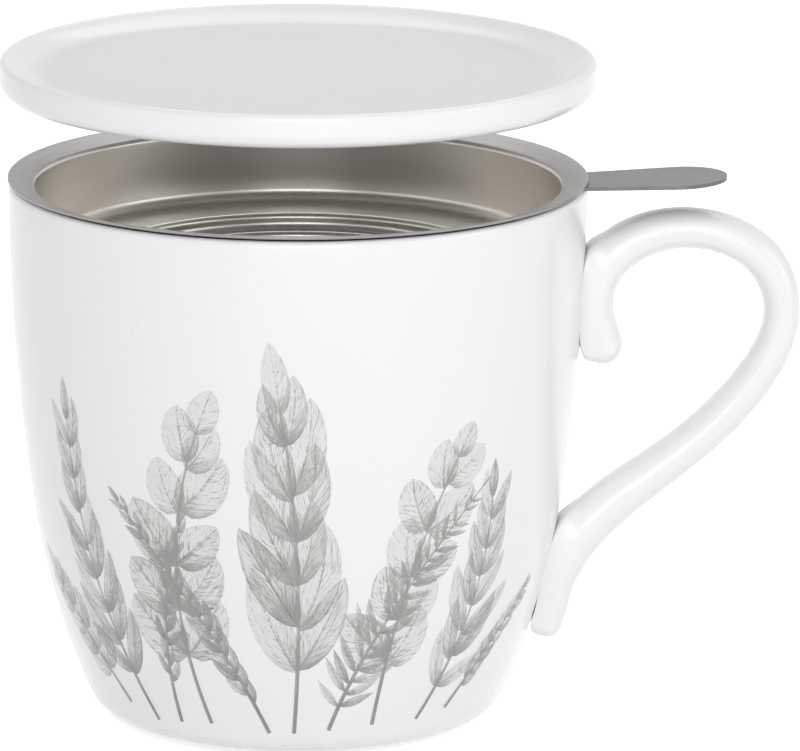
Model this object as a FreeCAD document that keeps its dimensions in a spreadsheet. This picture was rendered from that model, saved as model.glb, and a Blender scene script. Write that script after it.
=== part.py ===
"""A lidded porcelain tea mug with a steel infuser, as separate pieces in one frame.

The origin is the middle of the foot ring, on the axis of the mug. Z is up, X points along the
handle and the infuser's tab. All sizes are millimetres. The lid hangs above the infuser as it is
lifted off; `lid_lift` is its height above the closed place.
"""

import FreeCAD, Part
import math
import os

import Sketcher

# Driving sizes: alias, value, meaning
SIZES = (
    ("mug_height", 86.4, "top of the rim above the table"),
    ("rim_radius", 45.85, "outside of the mug at the rim"),
    ("mug_wall", 2.8, "porcelain wall, measured level"),
    ("lip_radius", 0.9, "rounding of both corners of the rim"),
    ("seat_slope", 0.3, "fall of the rim's land and of the flange, per millimetre inwards"),
    ("flank_radius", 345.0, "long upper curve of the side"),
    ("belly_height", 34.6, "height where the side turns in faster"),
    ("belly_radius", 122.0, "lower curve of the side"),
    ("heel_height", 4.1, "height where the heel's rounding starts"),
    ("foot_height", 0.9, "foot ring below the heel"),
    ("foot_inset", 2.5, "foot ring inside the flat of the heel"),
    ("foot_width", 3.0, "width of the foot ring"),
    ("recess_depth", 1.5, "hollow inside the foot ring"),
    ("floor_thickness", 4.2, "porcelain floor above the heel"),
    ("base_rise", 0.6, "top of the base above the porcelain floor, where the wall's piece starts"),
    ("bowl_height", 11.0, "height where the inside turns to the floor"),
    ("sheet", 0.5, "steel sheet of the pan"),
    ("seat_gap", 0.15, "running gap between pieces that seat on each other"),
    ("weld_gap", 0.05, "gap between steel pieces that are spot welded"),
    ("flange_overhang", 0.15, "flange beyond the outside of the rim"),
    ("pan_clearance", 0.85, "between the pan's wall and the inside of the rim"),
    ("pan_depth", 11.0, "shelf below the inner edge of the flange"),
    ("pan_bend", 0.9, "visible bend from flange to wall, and at the shelf's inner edge"),
    ("pan_fillet", 2.0, "hollow corner between wall and shelf"),
    ("shelf_width", 10.7, "shelf from the pan's wall in to the first neck"),
    ("neck_depth", 2.6, "ledge below the shelf"),
    ("neck_fillet", 1.2, "hollow corner above the ledge"),
    ("ledge_width", 2.3, "ledge from the first neck in to the collar that holds the sieve"),
    ("collar_depth", 6.0, "collar below the ledge"),
    ("sieve_sheet", 0.4, "thin sheet of the sieve"),
    ("sieve_overlap", 3.5, "length of sleeve inside the collar"),
    ("sieve_length", 38.0, "sieve below the collar"),
    ("sieve_cup", 3.0, "upstand of the sieve's floor"),
    ("sieve_cup_bend", 1.5, "bend at the foot of that upstand"),
    ("hole_size", 1.8, "diameter of the sieve's holes"),
    ("row_count", 5, "rows of holes up the sleeve"),
    ("column_count", 16, "holes round the sleeve"),
    ("row_margin", 4.0, "plain band above and below the holes"),
    ("floor_rings", 3, "rings of holes round the middle one of the floor"),
    ("ring_pitch", 7.0, "distance between the rings of holes in the floor"),
    ("tab_sheet", 0.6, "sheet of the lifting tab"),
    ("tab_reach", 22.1, "length of the tab beyond the flange"),
    ("tab_root", 11.7, "width of the tab at the flange"),
    ("tab_tip_radius", 7.5, "round end of the tab"),
    ("tab_lap", 0.2, "tab under the flange's edge"),
    ("tab_rise", 2.5, "upward tilt of the tab in degrees"),
    ("lid_overhang", 1.15, "lid beyond the outside of the flange"),
    ("lid_thickness", 5.4, "lid at its raised edge"),
    ("lid_recess", 2.5, "depth of the dished top"),
    ("lid_rim_width", 8.15, "raised edge from the outside to the flat middle"),
    ("lid_foot_inset", 9.15, "low ring under the lid, in from the outside"),
    ("lid_foot_width", 3.0, "width of that ring"),
    ("lid_foot_height", 0.8, "height of that ring"),
    ("lid_lift", 13.7, "height of the lifted lid above its closed place"),
)

# Upper half of the handle from its hanging tail to the strap: name, distance outside the rim's
# radius, depth below the rim, thickness seen from the side, width across
UPPER_STATIONS = (
    ("thumb_tip", 4.45, 28.55, 1.5, 2.2),
    ("thumb_end", 4.05, 27.8, 3.3, 4.6),
    ("thumb", 2.05, 24.0, 6.3, 7.0),
    ("hanger", 1.45, 20.0, 6.0, 8.6),
    ("shoulder", 2.95, 13.2, 6.9, 9.6),
    ("rise", 7.75, 9.1, 6.8, 9.0),
    ("crown", 16.05, 7.25, 6.3, 8.4),
    ("turn", 28.55, 12.7, 6.1, 8.0),
    ("bow", 31.15, 19.7, 5.8, 8.0),
    ("elbow", 25.75, 33.3, 6.2, 8.2),
)

# Lower half down to its tail: name, distance outside the wall at that height, height above the
# table, thickness, width
LOWER_STATIONS = (
    ("strap", 15.35, 40.4, 6.6, 8.6),
    ("landing", 4.6, 29.9, 7.6, 9.6),
    ("stem", 2.05, 21.6, 6.5, 8.4),
    ("spur", 2.75, 17.1, 5.2, 6.6),
    ("spur_end", 3.75, 14.0, 3.6, 4.6),
    ("spur_tip", 4.05, 13.15, 1.7, 2.3),
)


class Size:
    """A length with the expression that keeps it tied to the sheet."""

    def __init__(self, value, text):
        self.value = value
        self.text = text

    @staticmethod
    def lift(other):
        return other if isinstance(other, Size) else Size(other, repr(other))

    def __add__(self, other):
        other = Size.lift(other)
        return Size(self.value + other.value, f"({self.text} + {other.text})")

    def __sub__(self, other):
        other = Size.lift(other)
        return Size(self.value - other.value, f"({self.text} - {other.text})")

    def __mul__(self, other):
        other = Size.lift(other)
        return Size(self.value * other.value, f"{self.text} * {other.text}")

    def __truediv__(self, other):
        other = Size.lift(other)
        return Size(self.value / other.value, f"{self.text} / ({other.text})")

    def __rsub__(self, other):
        return Size.lift(other) - self

    def __radd__(self, other):
        return Size.lift(other) + self

    def __rtruediv__(self, other):
        return Size.lift(other) / self

    def __neg__(self):
        return Size(-self.value, f"(0 - {self.text})")

    def root(self):
        return Size(math.sqrt(self.value), f"sqrt({self.text})")

    def squared(self):
        return Size(self.value**2, f"({self.text})^2")


# Numbers that a sketch gives to an edge's vertices and to its own axes
START, END, CENTRE = range(1, 4)
V_AXIS, H_AXIS = range(-2, 0)
ORIGIN = (H_AXIS, START)
NEAR = 1e-6
HOLES_PER_RING = 6

doc = FreeCAD.newDocument("tea_mug")
sheet = doc.addObject("Spreadsheet::Sheet", "Sizes")


def fill_sheet():
    """Writes every driving size to its own row of the sheet."""
    rows = list(SIZES)
    for name, reach, drop, thick, width in UPPER_STATIONS:
        rows.append((f"{name}_reach", reach, "handle centre outside the rim's radius"))
        rows.append((f"{name}_drop", drop, "handle centre below the rim"))
        rows.append((f"{name}_thick", thick, "handle thickness there"))
        rows.append((f"{name}_width", width, "handle width there"))
    for name, reach, height, thick, width in LOWER_STATIONS:
        rows.append((f"{name}_reach", reach, "handle centre outside the wall"))
        rows.append((f"{name}_height", height, "handle centre above the table"))
        rows.append((f"{name}_thick", thick, "handle thickness there"))
        rows.append((f"{name}_width", width, "handle width there"))
    for line, (alias, value, note) in enumerate(rows, start=1):
        sheet.set(f"A{line}", alias)
        sheet.set(f"B{line}", str(value))
        sheet.set(f"C{line}", note)
        sheet.setAlias(f"B{line}", alias)
    doc.recompute()


def size(alias):
    """The value of one cell, tied to it."""
    return Size(float(getattr(sheet, alias)), f"Sizes.{alias}")


def bind(target, path, value):
    """Ties a property to the sheet."""
    target.setExpression(path, value.text)


def new_body(label):
    """An empty body named after its piece."""
    body = doc.addObject("PartDesign::Body", label)
    body.Label = label
    return body


def origin_feature(body, role):
    """One of the body's own origin planes or axes."""
    return next(item for item in body.Origin.OriginFeatures if item.Role == role)


def new_sketch(body, name, role):
    """A sketch on one of the body's origin planes."""
    sketch = body.newObject("Sketcher::SketchObject", name)
    sketch.AttachmentSupport = (origin_feature(body, role), [""])
    sketch.MapMode = "FlatFace"
    return sketch


def rule(sketch, terms, value):
    """Adds one constraint and ties it to the sheet."""
    index = sketch.addConstraint(Sketcher.Constraint(*terms, value.value))
    if "Sizes." in value.text:
        bind(sketch, f"Constraints[{index}]", value)


def fix(sketch, edge, vertex, x, y):
    """Holds one vertex at its place from the sketch's origin."""
    rule(sketch, ("DistanceX", *ORIGIN, edge, vertex), x)
    rule(sketch, ("DistanceY", *ORIGIN, edge, vertex), y)


def draw_outline(sketch, path):
    """Closes a chain of lines and arcs.

    Each entry is (x, y, radius): a corner, and the radius of the edge that leaves it. A radius of
    None is a straight edge, one above zero bends to the left of its direction, a negative one to
    the right. Every corner and radius is tied to the sheet.
    """
    corners = [FreeCAD.Vector(x.value, y.value, 0) for x, y, _ in path]
    edges = []
    for index, (_, _, radius) in enumerate(path):
        start = corners[index]
        end = corners[(index + 1) % len(path)]
        if radius is None:
            edges.append(Part.LineSegment(start, end))
            continue
        chord = end - start
        left = FreeCAD.Vector(-chord.y, chord.x, 0).normalize()
        bulge = abs(radius.value) - math.sqrt(radius.value**2 - (chord.Length / 2) ** 2)
        side = -1 if radius.value > 0 else 1
        middle = (start + end) * 0.5 + left * (side * bulge)
        edges.append(Part.Arc(start, middle, end))
    sketch.addGeometry(edges, False)
    begins = []
    for index, corner in enumerate(corners):
        at_start = sketch.getPoint(index, START).distanceToPoint(corner) < NEAR
        begins.append(START if at_start else END)
    for index, (x, y, radius) in enumerate(path):
        following = (index + 1) % len(path)
        ends = END if begins[index] == START else START
        sketch.addConstraint(
            Sketcher.Constraint("Coincident", index, ends, following, begins[following])
        )
        fix(sketch, index, begins[index], x, y)
        if radius is not None:
            rule(sketch, ("Radius", index), radius if radius.value > 0 else -radius)


def turn(body, name, kind, path):
    """Turns an outline round the axis of the mug, to add or to cut."""
    sketch = new_sketch(body, f"{name}_outline", "XZ_Plane")
    draw_outline(sketch, path)
    feature = body.newObject(f"PartDesign::{kind}", name)
    feature.Profile = sketch
    feature.ReferenceAxis = (sketch, ["V_Axis"])
    feature.Angle = 360
    body.Tip = feature
    doc.recompute()
    return feature


fill_sheet()
ZERO = Size(0.0, "0")
MARGIN = Size(5.0, "5")

mug_height = size("mug_height")
rim_radius = size("rim_radius")
mug_wall = size("mug_wall")
lip = size("lip_radius")
foot_height = size("foot_height")
sheet_pan = size("sheet")
seat_gap = size("seat_gap")
weld_gap = size("weld_gap")
slope = size("seat_slope")

flange_radius = rim_radius + size("flange_overhang")
pan_radius = rim_radius - mug_wall - sheet_pan - size("pan_clearance")
neck_radius = pan_radius - size("shelf_width")
collar_radius = neck_radius - size("ledge_width")
lid_radius = flange_radius + size("lid_overhang")

# The rim's land and the flange are parts of parallel cones
slope_run = (slope.squared() + 1).root()
slope_cos = 1 / slope_run
slope_sin = slope / slope_run
lip_height = mug_height - lip
land_radius = rim_radius - lip - lip * slope_sin
land_height = lip_height + lip * slope_cos

# The side of the mug: two arcs in line with each other, upright at the rim
flank = size("flank_radius")
belly_height = size("belly_height")
belly = size("belly_radius")
belly_sin = (lip_height - belly_height) / flank
belly_cos = (1 - belly_sin.squared()).root()
belly_side = rim_radius - flank * (1 - belly_cos)
belly_centre_radius = belly_side - belly * belly_cos
belly_centre_height = belly_height + belly * belly_sin


def wall_at(height):
    """Outside radius of the mug on its lower curve."""
    reach = (belly.squared() - (belly_centre_height - height).squared()).root()
    return belly_centre_radius + reach


def turn_in(height, floor):
    """Radius of the corner arc that leaves the lower curve and ends level on a floor."""
    lean = (belly_centre_height - height) / belly
    return (height - floor) / (1 - lean), lean


heel_height = size("heel_height")
heel, heel_lean = turn_in(heel_height, foot_height)
heel_radius = wall_at(heel_height)
heel_flat = heel_radius - heel * (1 - heel_lean.squared()).root()
foot_radius = heel_flat - size("foot_inset")


floor = foot_height + size("floor_thickness")
base_top = floor + size("base_rise")


def bowl_outline():
    """The hollow of the mug, from its floor up past the rim."""
    bowl_height = size("bowl_height")
    corner, lean = turn_in(bowl_height, floor)
    bowl_side = wall_at(bowl_height) - mug_wall
    floor_flat = bowl_side - corner * (1 - lean.squared()).root()
    inner_lip_radius = rim_radius - mug_wall + lip
    inner_lip_height = lip_height - slope * (mug_wall - lip * 2)
    return [
        (ZERO, floor, None),
        (floor_flat, floor, corner),
        (bowl_side, bowl_height, belly),
        (belly_side - mug_wall, belly_height, flank),
        (rim_radius - mug_wall, inner_lip_height, -lip),
        (inner_lip_radius - lip * slope_sin, inner_lip_height + lip * slope_cos, None),
        (inner_lip_radius - lip * slope_sin, mug_height + MARGIN, None),
        (ZERO, mug_height + MARGIN, None),
    ]


def side_outline(bottom):
    """Outside of the mug from a level on its lower curve up to the rim, closed over to the axis."""
    return [
        (ZERO, bottom, None),
        (wall_at(bottom), bottom, belly),
        (belly_side, belly_height, flank),
        (rim_radius, lip_height, lip),
        (land_radius, land_height, None),
        (ZERO, land_height - slope * land_radius, None),
    ]


def build_mug_body():
    """The wall of the mug from its base to the rim: a turned blank, hollowed from above."""
    body = new_body("mug_body")
    turn(body, "blank", "Revolution", side_outline(base_top))
    turn(body, "hollow", "Groove", bowl_outline())
    return body


def build_mug_base():
    """The base of the mug: its floor, heel and foot ring, with a recess inside the ring."""
    body = new_body("mug_base")
    outside = [
        (ZERO, foot_height, None),
        (foot_radius, foot_height, None),
        (heel_flat, foot_height, heel),
        (heel_radius, heel_height, belly),
        (wall_at(base_top), base_top, None),
        (ZERO, base_top, None),
    ]
    turn(body, "heel", "Revolution", outside)
    foot_inside = foot_radius - size("foot_width")
    ring = [
        (foot_inside, ZERO, None),
        (foot_radius, ZERO, None),
        (foot_radius, foot_height, None),
        (foot_inside, foot_height, None),
    ]
    turn(body, "foot_ring", "Revolution", ring)
    turn(body, "floor_hollow", "Groove", bowl_outline())
    recess = size("recess_depth")
    under = [
        (ZERO, -MARGIN, None),
        (foot_inside, -MARGIN, None),
        (foot_inside, recess, None),
        (ZERO, recess, None),
    ]
    turn(body, "foot_recess", "Groove", under)
    return body


def build_mug_handle():
    """The cast handle: ovals carried along one curve, trimmed to the side of the mug."""
    stations = []
    for name, *_ in UPPER_STATIONS:
        x = rim_radius + size(f"{name}_reach")
        z = mug_height - size(f"{name}_drop")
        stations.append((name, x, z))
    for name, *_ in LOWER_STATIONS:
        z = size(f"{name}_height")
        stations.append((name, wall_at(z) + size(f"{name}_reach"), z))
    ovals = []
    for index, (name, x, z) in enumerate(stations):
        before = stations[max(index - 1, 0)]
        after = stations[min(index + 1, len(stations) - 1)]
        oval = doc.addObject("Part::Ellipse", f"oval_{name}")
        bind(oval, "MajorRadius", size(f"{name}_width") / 2)
        bind(oval, "MinorRadius", size(f"{name}_thick") / 2)
        bind(oval, "Placement.Base.x", x)
        bind(oval, "Placement.Base.z", z)
        run = after[1] - before[1]
        climb = after[2] - before[2]
        oval.setExpression("Placement.Rotation.Yaw", "90")
        oval.setExpression("Placement.Rotation.Roll", f"atan2({run.text}; {climb.text})")
        ovals.append(oval)
    doc.recompute()
    loft = doc.addObject("Part::Loft", "handle_loft")
    loft.Sections = ovals
    loft.Solid = True
    loft.Ruled = False
    envelope = new_body("mug_envelope")
    turn(envelope, "envelope", "Revolution", side_outline(heel_height))
    handle = doc.addObject("Part::Cut", "mug_handle")
    handle.Base = loft
    handle.Tool = envelope
    doc.recompute()
    return handle


def flange_under(radius):
    """Height of the flange's underside."""
    return land_height + slope * (radius - land_radius) + seat_gap * slope_run


def flange_top(radius):
    """Height of the flange's upper face."""
    return flange_under(radius) + sheet_pan * slope_run


def build_infuser_pan():
    """The drawn pan: flange, upper wall, shelf, neck and collar of one sheet."""
    body = new_body("infuser_pan")
    edge = flange_radius
    wall = pan_radius
    bend = size("pan_bend")
    fillet = size("pan_fillet")
    neck = neck_radius
    ledge_fillet = size("neck_fillet")
    collar = collar_radius
    bend_centre = wall + bend
    bend_height = flange_top(bend_centre) - bend * slope_run
    shelf = bend_height - size("pan_depth")
    ledge = shelf - size("neck_depth")
    end = collar_end()
    inner_bend = bend - sheet_pan
    upper = [
        (edge, flange_top(edge), None),
        (bend_centre - bend * slope_sin, bend_height + bend * slope_cos, bend),
        (wall, bend_height, None),
        (wall, shelf + fillet, -fillet),
        (wall - fillet, shelf, None),
        (neck + bend, shelf, bend),
        (neck, shelf - bend, None),
        (neck, ledge + ledge_fillet, -ledge_fillet),
        (neck - ledge_fillet, ledge, None),
        (collar + bend, ledge, bend),
        (collar, ledge - bend, None),
        (collar, end, None),
    ]
    lower = [
        (collar + sheet_pan, end, None),
        (collar + sheet_pan, ledge - bend, -inner_bend),
        (collar + bend, ledge - sheet_pan, None),
        (neck - ledge_fillet, ledge - sheet_pan, ledge_fillet + sheet_pan),
        (neck + sheet_pan, ledge + ledge_fillet, None),
        (neck + sheet_pan, shelf - bend, -inner_bend),
        (neck + bend, shelf - sheet_pan, None),
        (wall - fillet, shelf - sheet_pan, fillet + sheet_pan),
        (wall + sheet_pan, shelf + fillet, None),
        (wall + sheet_pan, bend_height, -inner_bend),
        (
            bend_centre - inner_bend * slope_sin,
            bend_height + inner_bend * slope_cos,
            None,
        ),
        (edge, flange_under(edge), None),
    ]
    turn(body, "pan", "Revolution", upper + lower)
    return body


def collar_end():
    """Height of the collar's lower edge."""
    bend = size("pan_bend")
    bend_height = flange_top(pan_radius + bend) - bend * slope_run
    depth = size("pan_depth") + size("neck_depth") + size("collar_depth")
    return bend_height - depth


def sieve_end():
    """Height of the sieve's lower edge."""
    return collar_end() - size("sieve_length")


def round_pattern(body, feature, count):
    """Repeats one cut evenly round the axis."""
    pattern = body.newObject("PartDesign::PolarPattern", f"{feature.Name}_round")
    pattern.Originals = [feature]
    pattern.Axis = (origin_feature(body, "Z_Axis"), [""])
    pattern.Angle = 360
    if isinstance(count, Size):
        bind(pattern, "Occurrences", count)
    else:
        pattern.Occurrences = count
    body.Tip = pattern
    doc.recompute()
    return pattern


def build_sieve_sleeve():
    """The perforated sleeve: a thin tube with rows of round holes."""
    body = new_body("sieve_sleeve")
    outside = collar_radius - weld_gap
    inside = outside - size("sieve_sheet")
    top = collar_end() + size("sieve_overlap")
    bottom = sieve_end()
    tube = [
        (inside, bottom, None),
        (outside, bottom, None),
        (outside, top, None),
        (inside, top, None),
    ]
    turn(body, "tube", "Revolution", tube)
    rows = int(size("row_count").value)
    margin = size("row_margin")
    lowest = bottom + margin + size("sieve_cup")
    pitch = (collar_end() - margin - lowest) / (rows - 1)
    sketch = new_sketch(body, "column_outline", "XZ_Plane")
    for row in range(rows):
        height = lowest + pitch * row
        centre = FreeCAD.Vector(0, height.value, 0)
        up = FreeCAD.Vector(0, 0, 1)
        edge = sketch.addGeometry(Part.Circle(centre, up, size("hole_size").value / 2), False)
        sketch.addConstraint(Sketcher.Constraint("PointOnObject", edge, CENTRE, V_AXIS))
        rule(sketch, ("DistanceY", *ORIGIN, edge, CENTRE), height)
        rule(sketch, ("Diameter", edge), size("hole_size"))
    column = body.newObject("PartDesign::Pocket", "column")
    column.Profile = sketch
    column.Type = "Length"
    bind(column, "Length", outside + 1)
    body.Tip = column
    doc.recompute()
    round_pattern(body, column, size("column_count"))
    return body


def build_sieve_floor():
    """The perforated floor: a shallow cup pressed into the sleeve, holes in rings."""
    body = new_body("sieve_floor")
    skin = size("sieve_sheet")
    outside = collar_radius - weld_gap - skin - weld_gap
    bend = size("sieve_cup_bend")
    inner_bend = bend - skin
    bottom = sieve_end()
    cup = [
        (ZERO, bottom, None),
        (outside - bend, bottom, bend),
        (outside, bottom + bend, None),
        (outside, bottom + size("sieve_cup"), None),
        (outside - skin, bottom + size("sieve_cup"), None),
        (outside - skin, bottom + bend, -inner_bend),
        (outside - bend, bottom + skin, None),
        (ZERO, bottom + skin, None),
    ]
    turn(body, "cup", "Revolution", cup)
    pitch = size("ring_pitch")
    rings = int(size("floor_rings").value)
    for ring in range(rings + 1):
        count = max(1, HOLES_PER_RING * ring)
        sketch = new_sketch(body, f"ring_{ring}_outline", "XY_Plane")
        reach = pitch * ring
        centre = FreeCAD.Vector(reach.value, 0, 0)
        up = FreeCAD.Vector(0, 0, 1)
        edge = sketch.addGeometry(Part.Circle(centre, up, size("hole_size").value / 2), False)
        sketch.addConstraint(Sketcher.Constraint("PointOnObject", edge, CENTRE, H_AXIS))
        rule(sketch, ("DistanceX", *ORIGIN, edge, CENTRE), reach)
        rule(sketch, ("Diameter", edge), size("hole_size"))
        hole = body.newObject("PartDesign::Pocket", f"ring_{ring}")
        hole.Profile = sketch
        hole.Type = "Length"
        hole.Reversed = True
        bind(hole, "Length", bottom + size("sieve_cup"))
        body.Tip = hole
        doc.recompute()
        if count > 1:
            round_pattern(body, hole, count)
    return body


def build_infuser_tab():
    """The lifting tab: a flat strip welded under the flange's edge, widening to a round end."""
    body = new_body("infuser_tab")
    edge = flange_radius
    root_radius = edge - size("tab_lap")
    half_root = size("tab_root") / 2
    tip = size("tab_tip_radius")
    tip_centre = edge + size("tab_reach") - tip
    root_x = (root_radius.squared() - half_root.squared()).root()
    # Tangent from the corner of the root to the round end
    away = tip_centre - root_x
    gap = away.squared() + half_root.squared()
    run = (gap - tip.squared()).root()
    touch_x = tip_centre + tip * (half_root * run - away * tip) / gap
    touch_y = tip * (tip * half_root + away * run) / gap
    outline = [
        (root_x, -half_root, None),
        (touch_x, -touch_y, tip),
        (tip_centre + tip, ZERO, tip),
        (touch_x, touch_y, None),
        (root_x, half_root, -root_radius),
    ]
    sketch = new_sketch(body, "tab_outline", "XY_Plane")
    draw_outline(sketch, outline)
    pad = body.newObject("PartDesign::Pad", "tab_plate")
    pad.Profile = sketch
    bind(pad, "Length", size("tab_sheet"))
    body.Tip = pad
    rise = size("tab_rise")
    body.setExpression("Placement.Rotation.Pitch", f"0 - {rise.text}")
    base = flange_under(root_radius) - weld_gap - size("tab_sheet")
    body.setExpression("Placement.Base.z", f"{base.text} - {root_radius.text} * sin({rise.text})")
    doc.recompute()
    return body


def build_lid():
    """The loose lid: a thick disc with a dished top, a round edge and a low ring below."""
    body = new_body("lid")
    radius = lid_radius
    thickness = size("lid_thickness")
    edge = thickness / 2
    crown = radius - edge
    seat = flange_top(crown) + (edge + seat_gap) * slope_run - edge
    bottom = seat + size("lid_lift")
    top = bottom + thickness
    recess = size("lid_recess")
    dish = radius - size("lid_rim_width")
    ring = radius - size("lid_foot_inset")
    ring_inside = ring - size("lid_foot_width")
    ring_bottom = bottom - size("lid_foot_height")
    # The hollow arc that leaves the flat middle level and meets the round edge smoothly
    across = crown - dish
    offset = recess - edge
    sweep = (across.squared() + offset.squared() - edge.squared()) / ((edge + offset) * 2)
    share = sweep / (sweep + edge)
    meet_x = dish + across * share
    meet_y = top - recess + sweep + (offset - sweep) * share
    outline = [
        (ZERO, bottom, None),
        (ring_inside, bottom, None),
        (ring_inside, ring_bottom, None),
        (ring, ring_bottom, None),
        (ring, bottom, None),
        (crown, bottom, edge),
        (radius, bottom + edge, edge),
        (crown, top, edge),
        (meet_x, meet_y, -sweep),
        (dish, top - recess, None),
        (ZERO, top - recess, None),
    ]
    turn(body, "disc", "Revolution", outline)
    return body


def check_document():
    """Stops at the first object that failed to compute."""
    for item in doc.Objects:
        if "Invalid" in item.State or "Error" in item.State:
            raise RuntimeError(f"{item.Label} failed: {item.State}")


def write_pieces(pieces):
    """Writes each piece to its own file."""
    for piece in pieces:
        shape = piece.Shape
        if shape.isNull() or not shape.isValid():
            raise RuntimeError(f"{piece.Label} has no valid shape")
        print(piece.Label, len(shape.Solids), round(shape.Volume, 1))
    os.makedirs("parts", exist_ok=True)
    for piece in pieces:
        piece.Shape.exportStep(f"parts/{piece.Label}.step")


pieces = [
    build_mug_body(),
    build_mug_base(),
    build_mug_handle(),
    build_infuser_pan(),
    build_sieve_sleeve(),
    build_sieve_floor(),
    build_infuser_tab(),
    build_lid(),
]
doc.recompute()
check_document()
write_pieces(pieces)
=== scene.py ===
"""The looks of a porcelain tea mug with a steel infuser and a loose lid, lifted off.

Everything is in metres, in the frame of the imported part: the origin is the middle of the foot
ring, Z is up, X points along the handle, and the print faces -Y.
"""

import logging
import math
from dataclasses import dataclass, field
from enum import Enum

import bpy
import numpy as np
from mathutils import Matrix, Vector


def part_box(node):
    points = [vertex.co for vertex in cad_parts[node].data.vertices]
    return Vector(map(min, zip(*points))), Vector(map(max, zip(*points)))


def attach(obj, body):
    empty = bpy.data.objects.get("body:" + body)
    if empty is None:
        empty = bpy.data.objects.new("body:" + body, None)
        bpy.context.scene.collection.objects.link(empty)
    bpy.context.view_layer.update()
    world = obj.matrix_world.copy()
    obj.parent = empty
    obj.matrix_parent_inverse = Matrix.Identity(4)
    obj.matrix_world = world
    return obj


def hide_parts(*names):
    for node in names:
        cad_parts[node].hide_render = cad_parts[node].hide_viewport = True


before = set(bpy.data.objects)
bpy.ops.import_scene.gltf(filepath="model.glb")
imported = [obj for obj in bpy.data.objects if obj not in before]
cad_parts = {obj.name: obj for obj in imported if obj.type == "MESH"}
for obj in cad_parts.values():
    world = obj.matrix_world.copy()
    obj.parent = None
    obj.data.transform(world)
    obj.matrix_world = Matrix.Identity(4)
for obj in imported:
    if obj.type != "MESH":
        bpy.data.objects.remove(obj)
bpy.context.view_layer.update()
MM = 0.001
TURN = 2 * math.pi
PHOTO_WIDTH = 800
# Points nearer than this are one point, and points nearer to the axis than this lie on it
SAME_POINT = 1e-7
ON_AXIS = 1e-6
# Rounding of the small rings under the mug and the lid
RING_ROUND = 0.25 * MM
# How far the flange's upper and lower edges are rounded off
RIM_TRIM = 0.12 * MM
RIM_UNDERCUT = 0.15 * MM
WHITE = (1, 1, 1, 1)

logging.basicConfig(level=logging.INFO, format="%(message)s")
log = logging.getLogger("tea_mug")


# Mesh helpers


def arc(centre: tuple, radius: float, start: float, end: float, steps: int) -> np.ndarray:
    """Points on a circle: centre + radius * (cos angle, sin angle).

    Args:
        centre: the circle's middle.
        radius: its radius.
        start: first angle in degrees.
        end: last angle in degrees.
        steps: number of spans.

    Returns:
        An array of points, one a row.
    """
    angle = np.radians(np.linspace(start, end, steps + 1))
    return np.column_stack([centre[0] + radius * np.cos(angle), centre[1] + radius * np.sin(angle)])


def line(start: tuple, end: tuple, steps: int) -> np.ndarray:
    """Points spread evenly on a straight line.

    Args:
        start: first point.
        end: last point.
        steps: number of spans.

    Returns:
        An array of points, one a row.
    """
    share = np.linspace(0, 1, steps + 1)[:, None]
    return np.asarray(start) * (1 - share) + np.asarray(end) * share


def join(*runs: np.ndarray) -> np.ndarray:
    """Chains runs of points and drops doubles where they meet.

    Args:
        runs: the runs in order.

    Returns:
        One array of points.
    """
    points = np.vstack(runs)
    step = np.linalg.norm(np.diff(points, axis=0), axis=1)
    return points[np.concatenate([[True], step > SAME_POINT])]


def grid_faces(rows: int, columns: int, closed: bool = False) -> np.ndarray:
    """Quads of a grid: each cell takes its own corner and the three after it.

    Args:
        rows: number of vertex rows.
        columns: number of vertex columns.
        closed: whether the last column joins the first.

    Returns:
        An array of four vertex numbers a row.
    """
    i = np.arange(rows - 1)[:, None] * columns
    j = np.arange(columns if closed else columns - 1)[None, :]
    j_next = (j + 1) % columns
    corners = [i + j, i + j_next, i + columns + j_next, i + columns + j]
    return np.stack(corners, axis=-1).reshape(-1, 4)


def new_piece(
    name: str, points: np.ndarray, faces: list, sharp_angle: float = 50.0
) -> bpy.types.Object:
    """Makes an object from points and faces, smooth but for its sharp edges.

    Args:
        name: the piece's name.
        points: its vertices.
        faces: its faces, each a run of vertex numbers.
        sharp_angle: edges that turn more than this many degrees stay sharp.

    Returns:
        The new object, at the origin.
    """
    mesh = bpy.data.meshes.new(name)
    mesh.from_pydata(points.tolist(), [], [list(map(int, face)) for face in faces])
    mesh.polygons.foreach_set("use_smooth", np.ones(len(mesh.polygons), dtype=bool))
    mesh.set_sharp_from_angle(angle=math.radians(sharp_angle))
    mesh.validate()
    piece = bpy.data.objects.new(name, mesh)
    bpy.context.scene.collection.objects.link(piece)
    return piece


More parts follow.
